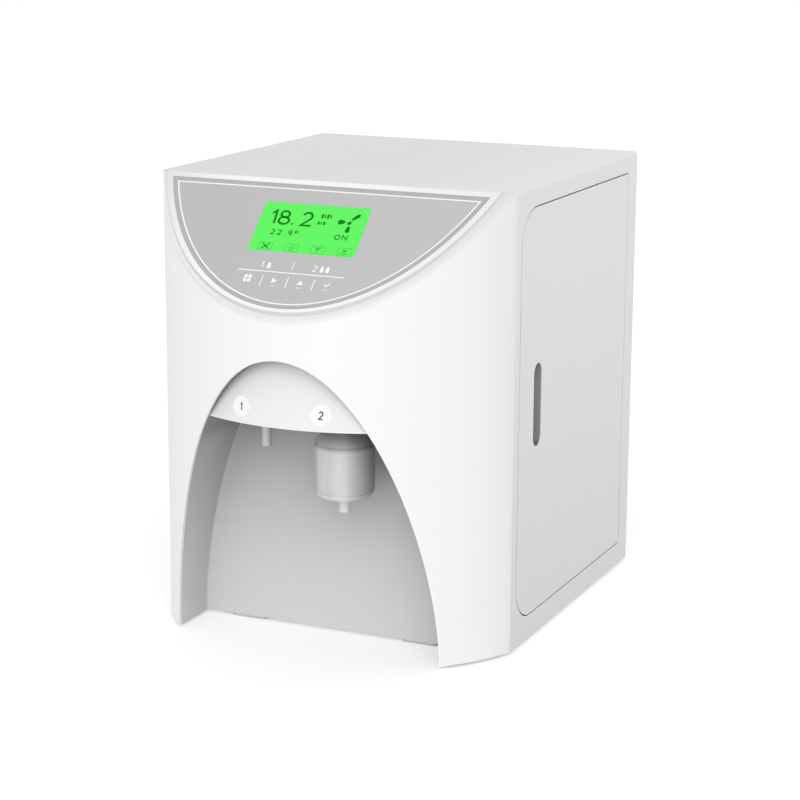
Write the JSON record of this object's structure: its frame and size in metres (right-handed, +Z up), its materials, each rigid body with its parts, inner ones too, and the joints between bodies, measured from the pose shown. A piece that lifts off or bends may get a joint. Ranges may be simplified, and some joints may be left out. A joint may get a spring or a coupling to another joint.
{
  "type": "ultrapure water system",
  "caption": "Bench-top water purifier: bowed white front with a sloping membrane control panel and green display, arched dispensing bay with capsule filter, hinged filter door.",
  "frame": {"origin": "on the bench, at the bottom centre of the whole object's bounding box", "axes": "+X to the right seen from the front, +Y to the back, +Z up"},
  "size_m": [0.4, 0.512, 0.481],
  "materials": {
    "white_moulding": "smooth satin moulding",
    "grey_enamel": "smooth satin powder coat",
    "bay_lining": "smooth satin moulding",
    "membrane_overlay": "fine matt printed film",
    "lcd_green": "lit green screen",
    "dark_plastic": "satin black plastic",
    "module_metal": "satin",
    "circuit_board": "green solder mask",
    "bright_steel": "brushed",
    "zinc_sheet": "zinc-plated sheet",
    "pin_steel": "polished",
    "black_rubber": "matt",
    "grey_rubber": "matt",
    "label_white": "smooth film",
    "outlet_plastic": "satin",
    "capsule_clear": "milky translucent",
    "membrane_white": "matt membrane",
    "head_plastic": "satin glass-filled plastic",
    "cartridge_white": "satin moulding",
    "pump_grey": "satin",
    "valve_plastic": "satin",
    "tube_clear": "translucent tubing",
    "sensor_grey": "satin"
  },
  "bodies": {
    "cabinet": {"front_fascia": "white_moulding", "control_overlay": "membrane_overlay", "display_screen": "lcd_green", "display_frame": "module_metal", "display_board": "circuit_board", "display_standoffs": "bright_steel", "bay_liner": "bay_lining", "dispense_hood": "white_moulding", "label_discs": "label_white", "water_nozzle": "outlet_plastic", "outlet_fitting": "outlet_plastic", "cabinet_wrap": "grey_enamel", "base_pan": "zinc_sheet", "back_panel": "grey_enamel", "front_bulkhead": "zinc_sheet", "filter_panel": "zinc_sheet", "head_rail": "zinc_sheet", "magnetic_catch": "dark_plastic", "hinge_brackets": "zinc_sheet", "hinge_pins": "pin_steel", "rubber_feet": "grey_rubber", "link_nipples": "tube_clear", "booster_pump": "pump_grey", "circulation_pump": "pump_grey", "pump_mounts": "black_rubber", "inlet_valve": "valve_plastic", "flush_valve": "valve_plastic", "outlet_valve": "valve_plastic", "pressure_switch": "dark_plastic", "conductivity_cell": "sensor_grey", "feed_tube": "tube_clear", "product_tube": "tube_clear", "nozzle_tube": "tube_clear", "drain_tube": "tube_clear", "power_supply": "module_metal", "board_bracket": "zinc_sheet", "main_board": "circuit_board", "board_standoffs": "outlet_plastic", "water_ports": "outlet_plastic", "power_inlet": "dark_plastic", "panel_screws": "bright_steel", "filter_head_1": "head_plastic", "filter_head_2": "head_plastic", "filter_head_3": "head_plastic", "filter_head_4": "head_plastic"},
    "door": {"side_door": "grey_enamel", "strike_plate": "bright_steel"},
    "capsule": {"capsule_shell": "capsule_clear", "capsule_membrane": "membrane_white"},
    "fuse_tray": {"fuse_drawer": "dark_plastic"},
    "rocker": {"rocker_switch": "dark_plastic"},
    "polishing": {"polishing_cartridge": "cartridge_white", "seal_rings_1": "black_rubber"},
    "membrane": {"membrane_cartridge": "cartridge_white", "seal_rings_2": "black_rubber"},
    "carbon": {"carbon_cartridge": "cartridge_white", "seal_rings_3": "black_rubber"},
    "sediment": {"sediment_cartridge": "cartridge_white", "seal_rings_4": "black_rubber"}
  },
  "joints": [
    {"name": "door_swing", "type": "hinge", "parent": "cabinet", "child": "door", "pos_m": [0.194, 0.2007, 0.244], "axis": [0, 0, 1], "range_deg": [0, 105]},
    {"name": "capsule_pull", "type": "slide", "parent": "cabinet", "child": "capsule", "axis": [0, 0, -1], "range_m": [0, 0.022]},
    {"name": "fuse_drawer_slide", "type": "slide", "parent": "cabinet", "child": "fuse_tray", "axis": [0, 1, 0], "range_m": [0, 0.018]},
    {"name": "switch_rock", "type": "hinge", "parent": "cabinet", "child": "rocker", "pos_m": [-0.118, 0.241, 0.063], "axis": [-1, 0, 0], "range_deg": [0, 16]},
    {"name": "polishing_twist", "type": "hinge", "parent": "cabinet", "child": "polishing", "pos_m": [0.14, -0.059, 0.4], "axis": [0, 0, 1], "range_deg": [0, 90]},
    {"name": "membrane_twist", "type": "hinge", "parent": "cabinet", "child": "membrane", "pos_m": [0.14, 0.015, 0.4], "axis": [0, 0, 1], "range_deg": [0, 90]},
    {"name": "carbon_twist", "type": "hinge", "parent": "cabinet", "child": "carbon", "pos_m": [0.14, 0.089, 0.4], "axis": [0, 0, 1], "range_deg": [0, 90]},
    {"name": "sediment_twist", "type": "hinge", "parent": "cabinet", "child": "sediment", "pos_m": [0.14, 0.163, 0.4], "axis": [0, 0, 1], "range_deg": [0, 90]}
  ]
}
